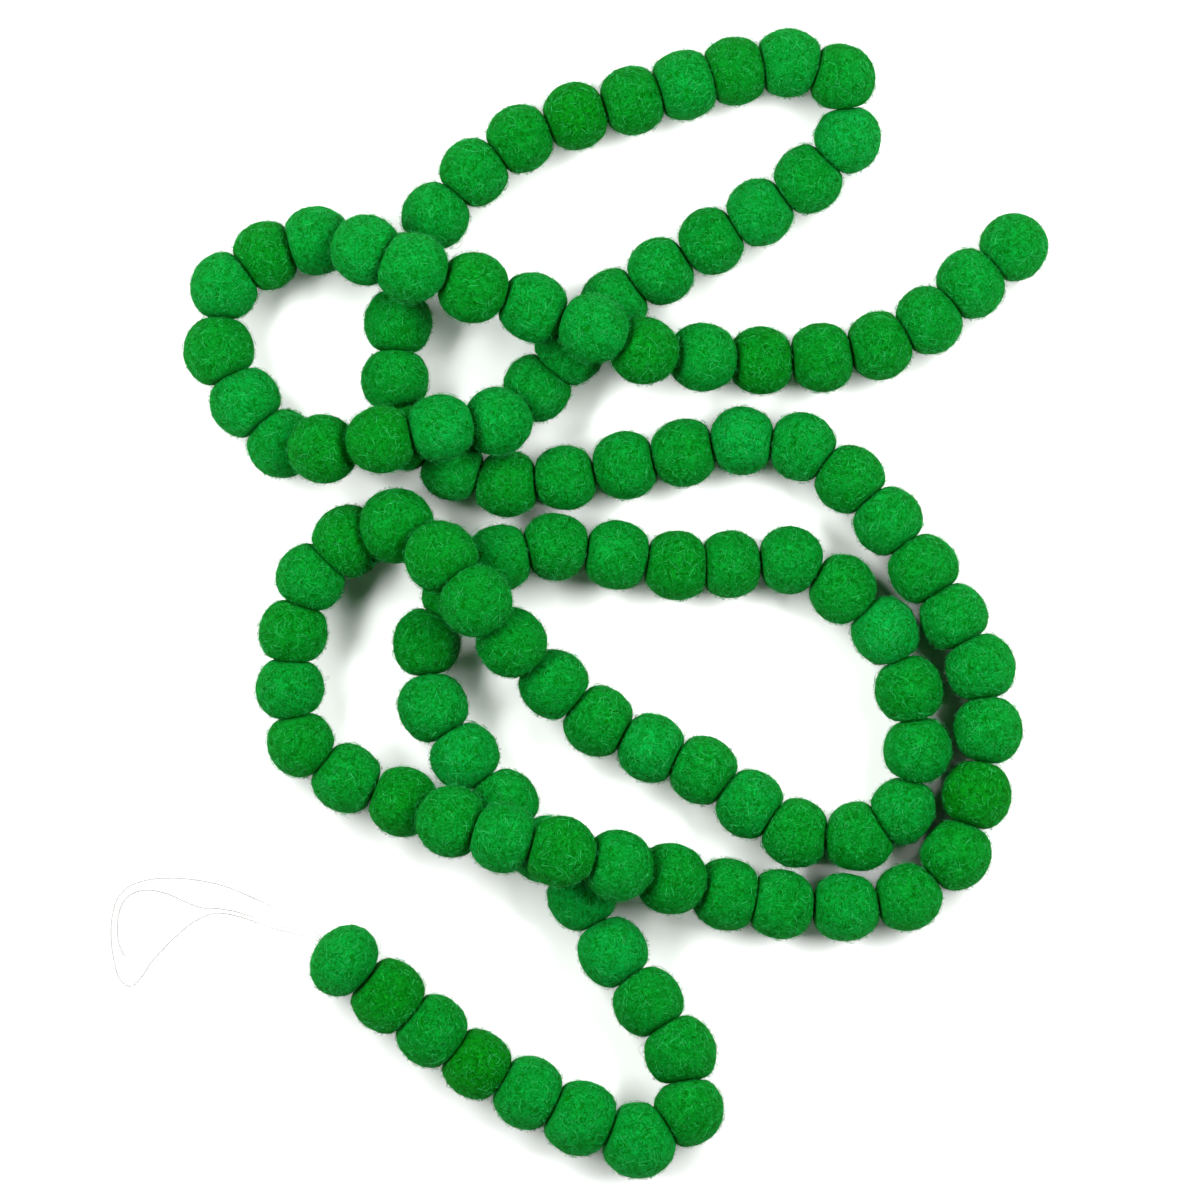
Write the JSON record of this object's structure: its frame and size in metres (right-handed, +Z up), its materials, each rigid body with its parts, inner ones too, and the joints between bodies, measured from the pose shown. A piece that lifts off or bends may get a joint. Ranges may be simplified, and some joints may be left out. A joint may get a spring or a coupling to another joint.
{
  "type": "felt ball garland",
  "caption": "Round green wool felt balls strung face to face on a clear nylon thread, laid flat in loose loops that cross over themselves, with a hanging loop and a free tail at one end.",
  "frame": {"origin": "on the table, under the middle of the laid balls", "axes": "+X to the right of the laid garland as seen from above, +Y towards its far end along its longest side, +Z up from the table"},
  "size_m": [0.3471, 0.425, 0.0503],
  "materials": {
    "felt": "matte wool felt with short fuzz",
    "thread": "clear nylon"
  },
  "bodies": {
    "root": {"balls_001_003": "felt", "balls_004_005": "felt", "balls_006_007": "felt", "balls_008_009": "felt", "balls_010_011": "felt", "balls_012_013": "felt", "balls_014_015": "felt", "balls_016_017": "felt", "balls_018_019": "felt", "balls_020_021": "felt", "balls_022_023": "felt", "balls_024_025": "felt", "balls_026_027": "felt", "balls_028_029": "felt", "balls_030_031": "felt", "balls_032_033": "felt", "balls_034_035": "felt", "balls_036_037": "felt", "balls_038_039": "felt", "balls_040_041": "felt", "balls_042_043": "felt", "balls_044_045": "felt", "balls_046_047": "felt", "balls_048_049": "felt", "balls_050_051": "felt", "balls_052_053": "felt", "balls_054_055": "felt", "balls_056_057": "felt", "balls_058_059": "felt", "balls_060_061": "felt", "balls_062_063": "felt", "balls_064_065": "felt", "balls_066_067": "felt", "balls_068_069": "felt", "balls_070_071": "felt", "balls_072_073": "felt", "balls_074_075": "felt", "balls_076_077": "felt", "balls_078_079": "felt", "balls_080_081": "felt", "balls_082_083": "felt", "balls_084_085": "felt", "balls_086_087": "felt", "balls_088_089": "felt", "balls_090_091": "felt", "balls_092_093": "felt", "balls_094_095": "felt", "balls_096_097": "felt", "balls_098_099": "felt", "balls_100_101": "felt", "balls_102_103": "felt", "balls_104_105": "felt", "balls_106_107": "felt", "balls_108_109": "felt", "balls_110_111": "felt", "balls_112_113": "felt", "balls_114_115": "felt", "thread_loop": "thread", "thread_tail": "thread"}
  },
  "joints": []
}
